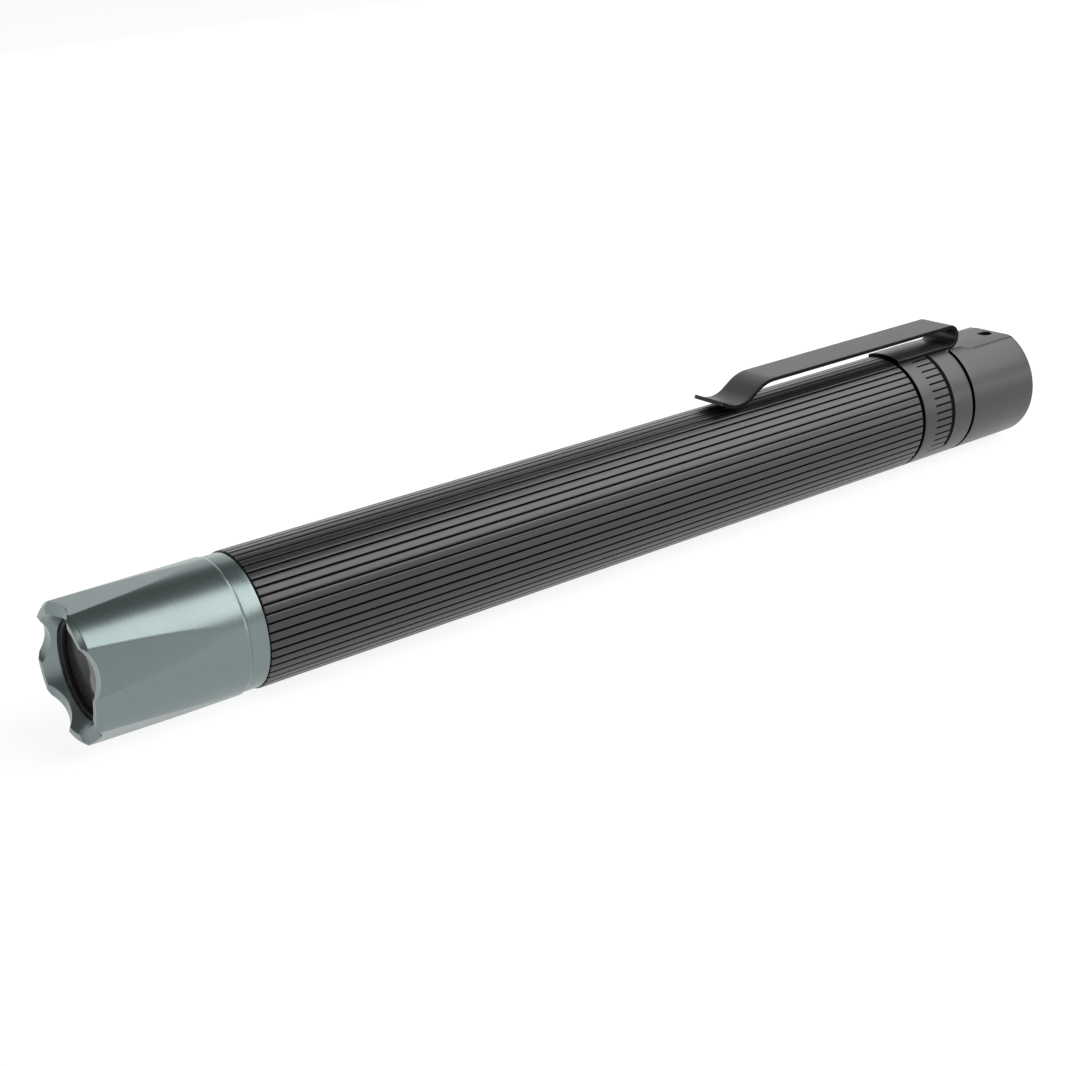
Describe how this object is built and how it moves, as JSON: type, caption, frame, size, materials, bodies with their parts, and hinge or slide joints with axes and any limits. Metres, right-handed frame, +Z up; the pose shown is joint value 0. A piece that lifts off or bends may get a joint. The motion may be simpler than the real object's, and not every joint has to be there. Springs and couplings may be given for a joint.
{
  "type": "flashlight",
  "caption": "Slim pocket flashlight with a faceted sliding bezel, grooved tube, screw-on tail with push button, lanyard hole and folded spring clip.",
  "frame": {"origin": "under the middle of the light, on the surface that it lies on", "axes": "+X from the lens to the tail along the light, +Z up through the pocket clip"},
  "size_m": [0.1602, 0.0176, 0.0207],
  "materials": {
    "bezel_metal": "satin teal-grey anodised",
    "rubber_black": "black rubber",
    "lens_glass": "clear polished",
    "inner_black": "matte black",
    "spring_wire": "plain spring steel",
    "lamp_board": "white solder mask",
    "lamp": "yellow phosphor under a clear dome",
    "wire_red": "insulated wire",
    "board_green": "green solder mask",
    "inner_metal": "plain turned",
    "tube_metal": "satin black anodised",
    "cell_wrap": "printed sleeve, plain",
    "tail_metal": "satin black anodised",
    "switch_white": "natural nylon",
    "button_rubber": "matte black",
    "clip_steel": "dark satin coated spring steel"
  },
  "bodies": {
    "barrel": {"neck": "bezel_metal", "focus_seal_ring": "rubber_black", "stop_ring": "spring_wire", "led_board": "lamp_board", "led_emitter": "lamp", "led_wires": "wire_red", "driver_board": "board_green", "driver_parts": "inner_black", "driver_ring": "inner_metal", "front_spring": "spring_wire", "neck_seal_ring": "rubber_black", "body_tube": "tube_metal", "cell_front": "cell_wrap", "cell_rear": "cell_wrap"},
    "bezel": {"bezel": "bezel_metal", "lens_gasket": "rubber_black", "lens": "lens_glass", "lens_retainer": "inner_black"},
    "tail_seal": {"tail_seal_ring": "rubber_black"},
    "tail": {"tail_collar": "tail_metal", "tail_cap": "tail_metal", "tail_spring": "spring_wire", "switch_board": "board_green", "switch_body": "inner_black", "switch_ring": "inner_metal", "button_seal": "rubber_black", "clip_foot": "clip_steel"},
    "clip": {"clip_arm": "clip_steel"},
    "button": {"tail_button": "button_rubber", "switch_plunger": "switch_white"}
  },
  "joints": [
    {"name": "focus", "type": "slide", "parent": "barrel", "child": "bezel", "axis": [-1, 0, 0], "range_m": [0, 0.004]},
    {"name": "tail_draw", "type": "slide", "parent": "barrel", "child": "tail_seal", "axis": [1, 0, 0], "range_m": [0, 0.005]},
    {"name": "tail_turn", "type": "hinge", "parent": "tail_seal", "child": "tail", "pos_m": [0.0546, 0, 0.0088], "axis": [1, 0, 0], "range_deg": [0, 1800]},
    {"name": "press", "type": "slide", "parent": "tail", "child": "button", "axis": [-1, 0, 0], "range_m": [0, 0.0012], "stiffness_N_per_m": 40, "springref_m": -0.003},
    {"name": "clip_flex", "type": "hinge", "parent": "tail", "child": "clip", "pos_m": [0.06671, 0, 0.01878], "axis": [0, 1, 0], "range_deg": [0, 5], "stiffness_Nm_per_rad": 0.05, "springref_deg": -2.86}
  ],
  "couplings": [
    {"joint": "tail_turn", "follows": "tail_draw", "rad_per_m": 6283}
  ]
}
